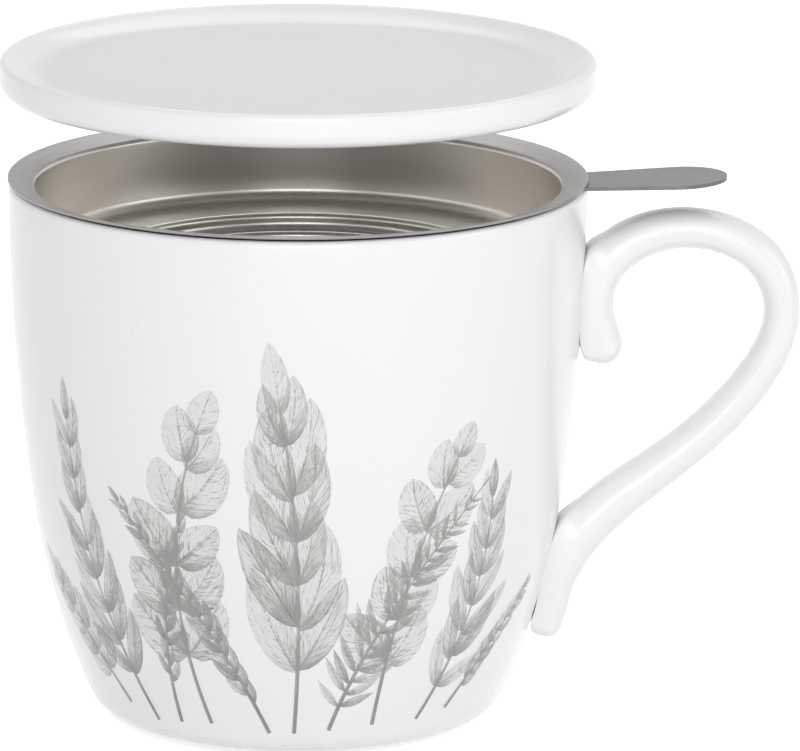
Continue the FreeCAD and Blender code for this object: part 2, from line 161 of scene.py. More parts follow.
def turned(name: str, profile: np.ndarray, spans: int, sharp_angle: float) -> bpy.types.Object:
    """Turns a closed profile round Z: (radius cos a, radius sin a, height).

    Points of the profile that lie on the axis become one vertex, so the poles are closed.

    Args:
        name: the piece's name.
        profile: radius and height of each point; the outside goes up, the inside comes down.
        spans: number of steps round the axis.
        sharp_angle: edges that turn more than this many degrees stay sharp.

    Returns:
        The new object.
    """
    angle = np.arange(spans) * TURN / spans
    on_axis = profile[:, 0] < ON_AXIS
    circle = np.column_stack([np.cos(angle), np.sin(angle), np.zeros(spans)])
    points = []
    rings = []
    count = 0
    for (radius, height), pole in zip(profile, on_axis):
        if pole:
            points.append(np.array([[0.0, 0.0, height]]))
            rings.append(np.full(spans, count))
            count += 1
        else:
            points.append(radius * circle + np.array([0.0, 0.0, height]))
            rings.append(np.arange(spans) + count)
            count += spans
    faces = []
    pairs = list(zip(rings, rings[1:]))
    if not on_axis.any():
        pairs.append((rings[-1], rings[0]))
    for low, high in pairs:
        low_next = np.roll(low, -1)
        high_next = np.roll(high, -1)
        if low[0] == low[-1] and high[0] == high[-1]:
            continue
        if low[0] == low[-1]:
            faces.extend(np.column_stack([low, high_next, high]))
        elif high[0] == high[-1]:
            faces.extend(np.column_stack([low, low_next, high]))
        else:
            faces.extend(np.column_stack([low, low_next, high_next, high]))
    return new_piece(name, np.vstack(points), faces, sharp_angle)


def smooth_path(knots: np.ndarray, spans: int) -> np.ndarray:
    """A natural cubic spline through knots of any width, stepped evenly along its chords.

    Args:
        knots: one row a knot; the first two columns are the place, the rest ride along.
        spans: number of steps along the whole path.

    Returns:
        The stepped rows.
    """
    gap = np.linalg.norm(np.diff(knots[:, :2], axis=0), axis=1)
    place = np.concatenate([[0], np.cumsum(gap)])
    size = len(knots)
    system = np.eye(size)
    target = np.zeros_like(knots)
    inner = np.arange(1, size - 1)
    system[inner, inner - 1] = gap[:-1]
    system[inner, inner] = 2 * (gap[:-1] + gap[1:])
    system[inner, inner + 1] = gap[1:]
    slopes = np.diff(knots, axis=0) / gap[:, None]
    target[1:-1] = 6 * np.diff(slopes, axis=0)
    bend = np.linalg.solve(system, target)
    at = np.linspace(0, place[-1], spans + 1)
    span = np.clip(np.searchsorted(place, at, side="right") - 1, 0, size - 2)
    left = (at - place[span])[:, None]
    right = (place[span + 1] - at)[:, None]
    width = gap[span][:, None]
    start, end = knots[span], knots[span + 1]
    start_bend, end_bend = bend[span], bend[span + 1]
    curve = (start_bend * right**3 + end_bend * left**3) / (6 * width)
    curve += (start / width - start_bend * width / 6) * right
    curve += (end / width - end_bend * width / 6) * left
    return curve


# Shader helpers


class Signal:
    """One number that flows through a material, with arithmetic that adds Math nodes."""

    def __init__(self, kit: "ShaderKit", socket: bpy.types.NodeSocket) -> None:
        self.kit = kit
        self.socket = socket

    def maths(self, operation: str, *others: object) -> "Signal":
        """A Math node.

        Args:
            operation: the node's operation.
            others: what its further sockets take.

        Returns:
            The result.
        """
        node = self.kit.node("ShaderNodeMath", {"operation": operation}, {})
        for slot, value in enumerate((self, *others)):
            self.kit.feed(node.inputs[slot], value)
        return Signal(self.kit, node.outputs[0])

    def __add__(self, other: object) -> "Signal":
        """Sum."""
        return self.maths("ADD", other)

    def __mul__(self, other: object) -> "Signal":
        """Product."""
        return self.maths("MULTIPLY", other)

    def __sub__(self, other: object) -> "Signal":
        """Difference."""
        return self.maths("SUBTRACT", other)

    def __rsub__(self, other: float) -> "Signal":
        """Difference from a plain number."""
        return (self * -1.0) + other

    def __abs__(self) -> "Signal":
        """Size without sign."""
        return self.maths("ABSOLUTE")

    def ramp(self, low: float, high: float, start: float = 0.0, end: float = 1.0) -> "Signal":
        """A smooth step.

        Args:
            low: where it leaves its start.
            high: where it reaches its end.
            start: its value up to low.
            end: its value from high on.

        Returns:
            The stepped signal.
        """
        settings = {"interpolation_type": "SMOOTHSTEP"}
        values = {"From Min": low, "From Max": high, "To Min": start, "To Max": end}
        node = self.kit.node("ShaderNodeMapRange", settings, {"Value": self, **values})
        return Signal(self.kit, node.outputs["Result"])


class ShaderKit:
    """Builds one material node by node."""

    def __init__(self, name: str) -> None:
        """Starts a material with a Principled shader."""
        self.material = bpy.data.materials.new(name)
        self.material.use_nodes = True
        self.tree = self.material.node_tree
        self.tree.nodes.clear()
        self.output = self.tree.nodes.new("ShaderNodeOutputMaterial")
        self.shader = self.tree.nodes.new("ShaderNodeBsdfPrincipled")
        self.tree.links.new(self.shader.outputs[0], self.output.inputs["Surface"])

    def feed(self, socket: bpy.types.NodeSocket, value: object) -> None:
        """Sets or links a socket.

        Args:
            socket: the socket to fill.
            value: a number, a colour, a signal or another socket.
        """
        if isinstance(value, Signal):
            self.tree.links.new(value.socket, socket)
        elif isinstance(value, bpy.types.NodeSocket):
            self.tree.links.new(value, socket)
        else:
            socket.default_value = value

    def node(self, kind: str, settings: dict, inputs: dict) -> bpy.types.Node:
        """Adds any node.

        Args:
            kind: the node's type.
            settings: its own settings, set first.
            inputs: values or links of its sockets, by name.

        Returns:
            The node.
        """
        node = self.tree.nodes.new(kind)
        for key, value in settings.items():
            setattr(node, key, value)
        for key, value in inputs.items():
            self.feed(node.inputs[key], value)
        return node

    def place(self) -> bpy.types.NodeSocket:
        """Object coordinates, in metres."""
        return self.node("ShaderNodeTexCoord", {}, {}).outputs["Object"]

    def parts(self, vector: bpy.types.NodeSocket) -> tuple:
        """The three numbers of a vector."""
        node = self.node("ShaderNodeSeparateXYZ", {}, {"Vector": vector})
        return tuple(Signal(self, node.outputs[axis]) for axis in "XYZ")

    def vector(self, x: object, y: object, z: object) -> bpy.types.NodeSocket:
        """A vector of three numbers."""
        return self.node("ShaderNodeCombineXYZ", {}, {"X": x, "Y": y, "Z": z}).outputs[0]

    def noise(self, vector: bpy.types.NodeSocket, scale: float, detail: float = 2.0) -> Signal:
        """Soft noise from 0 to 1.

        Args:
            vector: where it is read.
            scale: bumps to a metre, about.
            detail: number of finer layers.

        Returns:
            The noise.
        """
        inputs = {"Vector": vector, "Scale": scale, "Detail": detail}
        node = self.node("ShaderNodeTexNoise", {"noise_dimensions": "3D"}, inputs)
        return Signal(self, node.outputs["Fac"])

    def attribute(self, name: str) -> Signal:
        """A number that the mesh carries."""
        node = self.node("ShaderNodeAttribute", {"attribute_name": name}, {})
        return Signal(self, node.outputs["Fac"])

    def blend(self, share: Signal, first: object, second: object) -> bpy.types.NodeSocket:
        """A colour between two colours.

        Args:
            share: how much of the second it takes.
            first: the colour at 0.
            second: the colour at 1.

        Returns:
            The mixed colour.
        """
        node = self.node("ShaderNodeMix", {"data_type": "RGBA"}, {})
        self.feed(node.inputs["Factor"], share)
        self.feed(node.inputs[6], first)
        self.feed(node.inputs[7], second)
        return node.outputs[2]

    def bump(self, height: Signal, distance: float, strength: float = 1.0) -> None:
        """Raises the surface by height times distance.

        Args:
            height: how high each place is.
            distance: metres that a height of 1 stands for.
            strength: share of the effect.
        """
        inputs = {"Height": height, "Distance": distance, "Strength": strength}
        node = self.node("ShaderNodeBump", {}, inputs)
        self.feed(self.shader.inputs["Normal"], node.outputs["Normal"])

    def set(self, **values: object) -> None:
        """Sets sockets of the shader, with _ for spaces."""
        for key, value in values.items():
            self.feed(self.shader.inputs[key.replace("_", " ")], value)


@dataclass(frozen=True)
class Porcelain:
    """Clear glaze on white porcelain, bare where it stood in the kiln."""

    glaze: tuple = (0.90, 0.905, 0.90, 1.0)
    cool: tuple = (0.897, 0.903, 0.899, 1.0)
    # A greyer colour painted on the lid's flat middle as painted shade.
    painted_shade: tuple = (0.74, 0.745, 0.715, 1.0)
    bisque: tuple = (0.74, 0.72, 0.68, 1.0)
    bisque_light: tuple = (0.80, 0.78, 0.74, 1.0)
    roughness: float = 0.24
    coat: float = 0.35
    # Width over which the painted shade fades out.
    shade_edge: float = 5.0 * MM
    bare_low: float = -1.0
    bare_high: float = -1.0
    # Radius inside which the painted shade lies; 0 leaves it out.
    shade_radius: float = 0.0

    def make(self, name: str) -> bpy.types.Material:
        """Builds the material; inside the given radius the colour is painted greyer, as painted
        shade on the lid's flat middle.

        Args:
            name: the material's name.

        Returns:
            The material.
        """
        kit = ShaderKit(name)
        place = kit.place()
        x, y, z = kit.parts(place)
        cloud = kit.noise(place, 26.0, 3.0)
        ripple = kit.noise(place, 90.0, 1.0)
        tint = kit.blend(cloud.ramp(0.35, 0.7), self.glaze, self.cool)
        # Painted shade: the colour turns greyer inside the given radius.
        if self.shade_radius > 0:
            radius = (x * x + y * y).maths("SQRT")
            shade_mask = radius.ramp(self.shade_radius, self.shade_radius + self.shade_edge, 1.0, 0.0)
            tint = kit.blend(shade_mask, tint, self.painted_shade)
        rough = cloud * 0.05 + self.roughness
        coat = self.coat
        if self.bare_high > 0:
            edge = kit.noise(place, 700.0, 2.0) * 0.0002
            bare = (z + edge).ramp(self.bare_low, self.bare_high, 1.0, 0.0)
            grain = kit.noise(place, 2600.0, 3.0)
            clay = kit.blend(grain.ramp(0.3, 0.7), self.bisque, self.bisque_light)
            tint = kit.blend(bare, tint, clay)
            rough = bare * 0.5 + rough
            coat = (1 - bare) * coat
            ripple = ripple + bare * grain * 0.3
        kit.set(Base_Color=tint, Roughness=rough, Coat_Weight=coat, Coat_Roughness=0.12, IOR=1.5)
        kit.bump(ripple, 0.00005, 0.3)
        return kit.material


class Grain(Enum):
    """Which way the satin lines of the steel run."""

    ROUND = "round"
    ALONG = "along"


@dataclass(frozen=True)
class SatinSteel:
    """Satin stainless steel with fine turned or drawn lines and a smooth polish inside a given
    radius, where its colour is painted lighter as painted reflection; outside, the satin colour is
    painted darker as painted shade.
    """

    # The satin grain's two tones, set darker than the steel's own colour: painted shade.
    light: tuple = (0.335, 0.33, 0.325, 1.0)
    dark: tuple = (0.275, 0.27, 0.265, 1.0)
    # The polish's two tones, set much lighter than the steel's own colour: painted reflection.
    lit_polish: tuple = (0.73, 0.705, 0.665, 1.0)
    lit_polish_dark: tuple = (0.64, 0.615, 0.58, 1.0)
    roughness: float = 0.36
    shine: float = 0.31
    polish_radius: float = 0.0
    grain: Grain = Grain.ROUND

    def make(self, name: str) -> bpy.types.Material:
        """Builds the material.

        Args:
            name: the material's name.

        Returns:
            The material.
        """
        kit = ShaderKit(name)
        place = kit.place()
        x, y, z = kit.parts(place)
        radius = (x * x + y * y).maths("SQRT")
        if self.grain is Grain.ROUND:
            angle = y.maths("ARCTAN2", x)
            lines = kit.noise(kit.vector(radius * 9000.0, z * 9000.0, angle * 3.0), 1.0, 3.0)
            soft = kit.noise(kit.vector(radius * 900.0, z * 900.0, angle * 2.0), 1.0, 2.0)
        else:
            lines = kit.noise(kit.vector(x * 300.0, y * 9000.0, z * 3000.0), 1.0, 3.0)
            soft = kit.noise(kit.vector(x * 100.0, y * 900.0, z * 600.0), 1.0, 2.0)
        cloud = kit.noise(place, 60.0, 3.0)
        inside = radius.ramp(self.polish_radius, self.polish_radius + 0.0003, 1.0, 0.0)
        shade = (lines * 0.6 + soft * 0.4).ramp(0.3, 0.7)
        satin = kit.blend(shade, self.dark, self.light)
        bright = kit.blend(soft.ramp(0.2, 0.8, 0.0, 0.25), self.lit_polish, self.lit_polish_dark)
        # Painted light: inside the radius the colour is the lighter one, painted reflection;
        # outside it is the darker satin one, painted shade. The roughness change is the real
        # polish.
        kit.set(Base_Color=kit.blend(inside, satin, bright), Metallic=1.0)
        rough = lines * 0.10 + cloud * 0.08 + (self.roughness - 0.09)
        kit.set(Roughness=rough * (1 - inside) + inside * (cloud * 0.06 + (self.shine - 0.03)))
        kit.bump((lines + soft) * (1 - inside * 0.97), 0.000012, 0.4)
        return kit.material


@dataclass(frozen=True)
class Graphite:
    """A pencil-shaded transfer under the glaze: strokes follow each leaf's own length."""

    dark: tuple = (0.055, 0.052, 0.050, 1.0)
    light: tuple = (0.56, 0.545, 0.53, 1.0)

    def make(self, name: str) -> bpy.types.Material:
        """Builds the material.

        The UV map holds how far along a leaf or stem a point lies (U) and how far across (V,
        with 0.5 on the middle rib). The attribute tone is each leaf's own darkness, and seed
        sets its own part of the noise.

        Args:
            name: the material's name.

        Returns:
            The material.
        """
        kit = ShaderKit(name)
        uv = kit.node("ShaderNodeUVMap", {"uv_map": "stroke"}, {}).outputs[0]
        along, across, _ = kit.parts(uv)
        tone = kit.attribute("tone")
        seed = kit.attribute("seed")
        side = abs(across - 0.5) * 2.0
        slant = along * 7.0 - side * 2.4
        strokes = kit.noise(kit.vector(slant * 4.0, side * 1.6, seed * 40.0), 1.6, 4.0)
        hatch = kit.noise(kit.vector(along * 3.0, across * 26.0, seed * 40.0), 1.0, 3.0)
        paper = kit.noise(kit.place(), 5200.0, 2.0)
        rib = side.ramp(0.0, 0.10, 1.0, 0.0)
        vein = (slant * TURN).maths("SINE").ramp(0.86, 1.0) * side.ramp(0.9, 0.3)
        edge = side.ramp(0.78, 1.0)
        half = (across - 0.5).ramp(-0.06, 0.06)
        base = along.ramp(0.0, 0.45, 1.0, 0.0)
        dark = strokes.ramp(0.46, 0.74) * 0.42 + hatch.ramp(0.50, 0.76) * 0.30 + rib * 0.26
        dark = dark + vein * 0.12 + edge * 0.20 + half * 0.10 + base * 0.30 + tone * 0.50 - 0.30
        dark = dark * paper.ramp(0.25, 0.6, 0.70, 1.05)
        colour = kit.blend(dark.ramp(0.0, 1.0), self.light, self.dark)
        cover = side.ramp(0.86, 1.0, 1.0, 0.45) * dark.ramp(-0.10, 0.60, 0.16, 0.95)
        kit.set(Base_Color=colour, Alpha=cover * side.ramp(0.97, 1.0, 1.0, 0.0))
        kit.set(Roughness=0.2, Coat_Weight=0.6, Coat_Roughness=0.06)
        return kit.material


# The object's pieces


@dataclass
class MugShell:
    """The thrown porcelain body."""

    wall: float = 2.8 * MM
    lip: float = 0.9 * MM
    slope: float = 0.3
    flank: float = 345.0 * MM
    belly_height: float = 34.6 * MM
    belly: float = 122.0 * MM
    heel_height: float = 4.1 * MM
    foot_height: float = 0.9 * MM
    foot_radius: float = 25.98 * MM
    foot_width: float = 3.0 * MM
    recess: float = 1.5 * MM
    floor: float = 5.1 * MM
    bowl_height: float = 11.0 * MM
    spans: int = 288
    height: float = field(init=False)
    rim: float = field(init=False)
    lip_height: float = field(init=False)
    belly_centre: tuple = field(init=False)

    def __post_init__(self) -> None:
        """Reads the rim's radius and height from the frame, and sets the belly's arc in line."""
        low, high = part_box("mug_body")
        self.height = float(high[2])
        self.rim = (high[0] - low[0]) / 2
        self.lip_height = self.height - self.lip
        lean = (self.lip_height - self.belly_height) / self.flank
        level = math.sqrt(1 - lean**2)
        side = self.rim - self.flank * (1 - level)
        centre_height = self.belly_height + self.belly * lean
        self.belly_centre = (side - self.belly * level, centre_height)

    def side(self, height: np.ndarray) -> np.ndarray:
        """Outside radius: a long arc above the belly, a shorter one below.

        Args:
            height: one height or many.

        Returns:
            The radius at each height.
        """
        height = np.asarray(height, dtype=float)
        rise = np.clip(self.lip_height - height, 0, None)
        upper = self.rim - self.flank + np.sqrt(self.flank**2 - rise**2)
        drop = np.clip(self.belly_centre[1] - height, 0, self.belly)
        lower = self.belly_centre[0] + np.sqrt(self.belly**2 - drop**2)
        return np.where(height > self.belly_height, upper, lower)

    def corner(self, start: float, floor: float, inset: float) -> np.ndarray:
        """The arc that leaves the side at one height and ends level on a floor, going down.

        Args:
            start: height where it leaves the side.
            floor: height where it ends.
            inset: how far inside the side it runs.

        Returns:
            Its points.
        """
        lean = (self.belly_centre[1] - start) / self.belly
        radius = (start - floor) / (1 - lean)
        centre_r = float(self.side(start)) - inset - radius * math.sqrt(1 - lean**2)
        return arc((centre_r, floor + radius), radius, -math.degrees(math.asin(lean)), -90, 18)

    def profile(self) -> np.ndarray:
        """Half section, from under the middle, up the outside and down the inside.

        Returns:
            Radius and height of each point.
        """
        tilt = math.degrees(math.atan(self.slope))
        heel = self.corner(self.heel_height, self.foot_height, 0.0)[::-1]
        heights = np.linspace(self.heel_height, self.lip_height, 72)
        outside = np.column_stack([self.side(heights), heights])
        inner_lip = self.lip_height - self.slope * (self.wall - 2 * self.lip)
        inner_heights = np.linspace(inner_lip, self.bowl_height, 60)
        inside = np.column_stack([self.side(inner_heights) - self.wall, inner_heights])
        bowl = self.corner(self.bowl_height, self.floor, self.wall)
        foot_in = self.foot_radius - self.foot_width
        soft = RING_ROUND
        return join(
            line((0, self.recess), (foot_in - soft, self.recess), 8),
            line((foot_in, self.recess - soft), (foot_in, 0.9 * soft), 2),
            arc((foot_in + soft, soft), soft, 180, 270, 4),
            arc((self.foot_radius - soft, soft), soft, 270, 360, 4),
            line((self.foot_radius, soft), (self.foot_radius, self.foot_height), 2),
            line((self.foot_radius, self.foot_height), heel[0], 2),
            heel,
            outside,
            arc((self.rim - self.lip, self.lip_height), self.lip, 0, 90 + tilt, 12),
            arc((self.rim - self.wall + self.lip, inner_lip), self.lip, 90 + tilt, 180, 10),
            inside,
            bowl,
            line(bowl[-1], (0, self.floor), 10),
        )

    def build(self) -> bpy.types.Object:
        """Makes the body and dresses it.

        Returns:
            The body.
        """
        piece = turned("mug_shell", self.profile(), self.spans, 60)
        finish = Porcelain(bare_low=0.2 * MM, bare_high=0.5 * MM)
        piece.data.materials.append(finish.make("glazed_porcelain"))
        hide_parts("mug_body", "mug_base")
        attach(piece, "mug")
        return piece


@dataclass
class Handle:
    """The cast handle: ovals along one curve, flared where they meet the side.

    flare is the fillet's radius and spread its share up and down. The fillet is whole where the
    way across is hold or more, and the handle at least flared_half thick to the middle. Under
    the side it runs on for run_on times the depth, down to a depth of tuck.
    """

    shell: MugShell
    flare: float = 3.4 * MM
    spread: float = 0.3
    hold: float = 0.75
    flared_half: float = 2.6 * MM
    tuck: float = 0.6 * MM
    run_on: float = 2.5
    round_spans: int = 96
    long_spans: int = 260
    cap_spans: int = 8
    squareness: float = 2.25
    # Distance from the rim's radius, depth below the rim, thickness and width in millimetres
    upper: tuple = (
        (2.75, 26.3, 6.3, 5.8),
        (2.05, 24.0, 6.3, 7.0),
        (1.45, 20.0, 6.0, 8.6),
        (2.95, 13.2, 6.9, 9.6),
        (7.75, 9.1, 6.8, 9.0),
        (16.05, 7.25, 6.3, 8.4),
        (28.55, 12.7, 6.1, 8.0),
        (31.15, 19.7, 5.8, 8.0),
        (25.75, 33.3, 6.2, 8.2),
    )
    # Distance from the side at that height, height above the table, thickness and width
    lower: tuple = (
        (15.35, 40.4, 6.6, 8.6),
        (4.6, 29.9, 7.6, 9.6),
        (2.05, 21.6, 6.5, 8.4),
        (2.6, 17.1, 5.4, 6.6),
        (2.75, 14.4, 5.2, 5.6),
    )

    def knots(self) -> np.ndarray:
        """The stations of both halves, from the upper curl to the lower one.

        Returns:
            Place, half thickness and half width of each station, in metres.
        """
        high = np.array(self.upper) * MM
        low = np.array(self.lower) * MM
        high_x = self.shell.rim + high[:, 0]
        low_x = self.shell.side(low[:, 1]) + low[:, 0]
        top = np.column_stack([high_x, self.shell.height - high[:, 1], high[:, 2:] / 2])
        bottom = np.column_stack([low_x, low[:, 1], low[:, 2:] / 2])
        return np.vstack([top, bottom])

    def course(self) -> tuple:
        """The curve through the stations, with a round cap at both ends.

        Each cap is a quarter turn: forward by half the thickness times its sine, and as thick
        and wide as its cosine.

        Returns:
            A row for each step with place, half thickness and half width; and the way it goes.
        """
        path = smooth_path(self.knots(), self.long_spans)
        way = np.gradient(path[:, :2], axis=0)
        way /= np.linalg.norm(way, axis=1)[:, None]
        angle = np.linspace(0, math.pi / 2, self.cap_spans + 1)[1:, None]
        caps = []
        for end, sign in ((0, -1), (-1, 1)):
            reach = path[end, 2] * np.sin(angle) * sign
            place = path[end, :2] + way[end] * reach
            caps.append(np.column_stack([place, path[end, 2:] * np.cos(angle)]))
        first = np.repeat(way[:1], self.cap_spans, axis=0)
        last = np.repeat(way[-1:], self.cap_spans, axis=0)
        return np.vstack([caps[0][::-1], path, caps[1]]), np.vstack([first, way, last])

    def build(self) -> bpy.types.Object:
        """Makes the handle and dresses it.

        A point is centre + thick * c * normal + wide * s * across, where c and s are the cosine
        and sine of the way round, raised to 2 / squareness. Closer to the side than the flare it
        moves along a round fillet: flare * (1 - cos bend) sideways, and down to
        flare * (1 - sin bend) above the side, where bend grows from 0 to a quarter turn. What
        lies under the side runs on just below it, so that no seam shows. Up and down the
        root widens by a share of the same fillet.

        Returns:
            The handle.
        """
        path, way = self.course()
        turn = np.arange(self.round_spans) * TURN / self.round_spans
        power = 2 / self.squareness
        c = np.sign(np.cos(turn)) * np.abs(np.cos(turn)) ** power
        s = np.sign(np.sin(turn)) * np.abs(np.sin(turn)) ** power
        normal = np.column_stack([way[:, 1], np.zeros(len(way)), -way[:, 0]])
        centre = np.column_stack([path[:, 0], np.zeros(len(path)), path[:, 1]])
        offset = path[:, 2, None, None] * c[None, :, None] * normal[:, None, :]
        offset = offset + path[:, 3, None, None] * s[None, :, None] * np.array([0.0, 1.0, 0.0])
        points = centre[:, None, :] + offset
        fade = np.clip(path[:, 2] / self.flared_half, 0.3, 1)[:, None]
        sideways = np.clip(s / self.hold, -1, 1)[None, :] * fade
        gap = np.linalg.norm(points[..., :2], axis=2) - self.shell.side(points[..., 2])
        bend = (1 - np.clip(gap / self.flare, 0, 1)) * math.pi / 2
        under = np.clip(-gap, 0, self.tuck)
        push = self.flare * (1 - np.cos(bend)) + self.run_on * under
        sink = np.clip(gap, 0, self.flare) - self.flare * (1 - np.sin(bend)) - 0.95 * under
        points[..., 1] += sideways * push
        points[..., 2] += np.sign(normal[:, None, 2] * c) * fade * c**2 * self.spread * push
        wanted = self.shell.side(points[..., 2]) + gap - np.abs(sideways) * sink
        reach = np.linalg.norm(points[..., :2], axis=2)
        points[..., :2] *= np.where(gap < self.flare, wanted / reach, 1.0)[..., None]
        faces = grid_faces(len(path), self.round_spans, closed=True)
        piece = new_piece("handle", points.reshape(-1, 3), faces, 70)
        piece.data.materials.append(Porcelain().make("glazed_handle"))
        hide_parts("mug_handle")
        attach(piece, "mug")
        return piece


@dataclass(frozen=True)
class Sprig:
    """One drawn stem with its leaves, laid out on the unrolled side, in millimetres and degrees.

    leaf is the length and width of its largest leaf, splay the angle at which leaves stand off,
    taper the tip leaf's share of that size, and first the share of the stem that stays bare.
    """

    foot: tuple
    heading: float
    length: float
    curl: float
    leaves: int
    leaf: tuple
    splay: float
    tone: float
    blunt: float = 0.8
    taper: float = 0.55
    first: float = 0.16
    paired: bool = True


@dataclass
class LeafPrint:
    """A pencil-drawn transfer of meadow stems round the front of the mug."""

    shell: MugShell
    lift: float = 0.02 * MM
    layer: float = 0.0002 * MM
    # Radius in millimetres at which the drawing is unrolled
    unrolled: float = 44.0
    leaf_grid: tuple = (13, 7)
    stem_grid: tuple = (33, 3)
    seed: int = 11
    sprigs: tuple = (
        Sprig((-30.0, 5.0), -24.0, 50.0, 22.0, 8, (14.0, 4.2), 44.0, 0.42),
        Sprig((-17.0, 6.0), -16.0, 50.0, 36.0, 5, (13.5, 9.2), 58.0, 0.25, 0.62, 0.62, 0.24),
        Sprig((-5.0, 5.0), -26.0, 45.0, -16.0, 14, (6.5, 2.0), 40.0, 0.62, 0.9, 0.5, 0.14, False),
        Sprig((0.0, 5.0), 5.0, 54.0, -14.0, 6, (21.0, 7.6), 36.0, 0.30, 0.75, 0.55, 0.2),
        Sprig((7.0, 5.5), 20.0, 47.0, 26.0, 18, (8.6, 1.9), 66.0, 0.60, 1.0, 0.25, 0.1),
        Sprig((16.0, 6.0), 2.0, 46.0, 24.0, 5, (12.5, 8.8), 56.0, 0.28, 0.6, 0.6, 0.24),
        Sprig((26.0, 6.0), 30.0, 38.0, -32.0, 7, (13.0, 4.0), 44.0, 0.45),
        Sprig((33.0, 7.0), 36.0, 24.0, 14.0, 9, (5.5, 2.2), 42.0, 0.60, 0.9, 0.5, 0.2, False),
        Sprig((-37.0, 7.0), -34.0, 25.0, -12.0, 5, (8.5, 5.4), 56.0, 0.35, 0.6, 0.6, 0.24),
        Sprig((-24.0, 5.5), -3.0, 36.0, 24.0, 10, (5.5, 1.8), 42.0, 0.65, 0.9, 0.5, 0.2, False),
    )

    def along(self, sprig: Sprig, share: np.ndarray) -> tuple:
        """Follows a stem, whose heading turns evenly from foot to tip.

        Args:
            sprig: the stem.
            share: how far along it, from 0 to 1.

        Returns:
            x, z and heading at each share.
        """
        start = math.radians(sprig.heading)
        turned = math.radians(sprig.curl)
        heading = start + turned * share
        x = sprig.foot[0] + sprig.length * (np.cos(start) - np.cos(heading)) / turned
        z = sprig.foot[1] + sprig.length * (np.sin(heading) - np.sin(start)) / turned
        return x, z, heading

    def leaf_table(self, sprig: Sprig, chance: np.random.Generator) -> np.ndarray:
        """Sets out the leaves of one stem.

        Args:
            sprig: the stem.
            chance: where its small differences come from.

        Returns:
            A row a leaf: x, z, heading, length, half width, bend, tone, bluntness and seed.
        """
        rows = sprig.leaves * 2
        order = np.arange(rows)
        side = np.where(order % 2 == 0, 1.0, -1.0)
        step = order // 2 if sprig.paired else order / 2
        share = sprig.first + (0.97 - sprig.first) * step / max(sprig.leaves - 0.5, 1)
        share = np.append(np.clip(share + chance.normal(0, 0.008, rows), 0, 0.985), 1.0)
        side = np.append(side, 0.0)
        x, z, heading = self.along(sprig, share)
        size = 1 - (1 - sprig.taper) * share**1.5
        size *= 0.72 + 0.28 * np.sin(np.clip(share * 2.2, 0, 1) * math.pi / 2)
        size *= chance.normal(1, 0.07, rows + 1)
        splay = np.radians(sprig.splay) * (1 - 0.3 * share) * chance.normal(1, 0.12, rows + 1)
        tone = np.clip(sprig.tone + chance.normal(0, 0.16, rows + 1), 0.02, 0.98)
        return np.column_stack([
            x,
            z,
            heading + side * splay,
            sprig.leaf[0] * size,
            sprig.leaf[1] * size / 2,
            -side * np.radians(26) * chance.normal(1, 0.35, rows + 1) + 0.01,
            tone,
            np.full(rows + 1, sprig.blunt),
            chance.random(rows + 1),
        ])

    def lay(self, x: np.ndarray, z: np.ndarray, level: np.ndarray) -> np.ndarray:
        """Wraps flat places round the side: the angle is x / unrolled, the radius the side's.

        Args:
            x: place across, in millimetres.
            z: height, in millimetres.
            level: number of the layer each place lies on.

        Returns:
            The places in metres.
        """
        angle = x / self.unrolled - math.pi / 2
        radius = self.shell.side(z * MM) + self.lift + level * self.layer
        return np.stack([radius * np.cos(angle), radius * np.sin(angle), z * MM], axis=-1)

    def leaves(self, table: np.ndarray) -> tuple:
        """All leaves at once.

        The middle line turns evenly by the bend. Half the width at a share u of the length is
        width * sin(pi * u^0.85)^bluntness, and the leaf lies flat on the side.

        Args:
            table: a row a leaf, as leaf_table gives it.

        Returns:
            Vertices, strokes, tones and seeds.
        """
        rows, columns = self.leaf_grid
        u = np.linspace(0.0, 1.0, rows)[None, :, None]
        v = np.linspace(-1.0, 1.0, columns)[None, None, :]
        x, z, heading, length, width, bend, tone, blunt, seed = (c[:, None, None] for c in table.T)
        direction = heading + bend * u
        middle_x = x + length * (np.cos(heading) - np.cos(direction)) / bend
        middle_z = z + length * (np.sin(direction) - np.sin(heading)) / bend
        half = width * np.clip(np.sin(math.pi * u**0.85), 0.0, 1.0) ** blunt + 0.02
        flat_x = middle_x + v * half * np.cos(direction)
        flat_z = middle_z - v * half * np.sin(direction)
        level = np.arange(len(table), dtype=float)[:, None, None] + np.zeros_like(flat_x)
        points = self.lay(flat_x, flat_z, level)
        stroke = np.stack(np.broadcast_arrays(u, (v + 1) / 2), axis=-1)
        stroke = stroke + np.zeros((len(table), 1, 1, 1))
        tones = tone + np.zeros_like(flat_x)
        seeds = seed + np.zeros_like(flat_x)
        return points.reshape(-1, 3), stroke.reshape(-1, 2), tones.ravel(), seeds.ravel()

    def stem(self, sprig: Sprig, level: float) -> tuple:
        """One stem, 0.8 mm wide at its foot and 0.3 at its tip.

        Args:
            sprig: the stem.
            level: number of the layer it lies on.

        Returns:
            Vertices, strokes, tones and seeds.
        """
        rows, columns = self.stem_grid
        u = np.linspace(0.0, 1.0, rows)
        v = np.linspace(-1.0, 1.0, columns)[None, :]
        x, z, heading = self.along(sprig, u)
        half = (0.42 - 0.26 * u)[:, None]
        flat_x = x[:, None] + v * half * np.cos(heading)[:, None]
        flat_z = z[:, None] - v * half * np.sin(heading)[:, None]
        points = self.lay(flat_x, flat_z, np.full_like(flat_x, level))
        stroke = np.stack(np.broadcast_arrays(u[:, None], (v + 1) / 2), axis=-1)
        tones = np.full(rows * columns, 0.75)
        seeds = np.full(rows * columns, sprig.tone)
        return points.reshape(-1, 3), stroke.reshape(-1, 2), tones, seeds

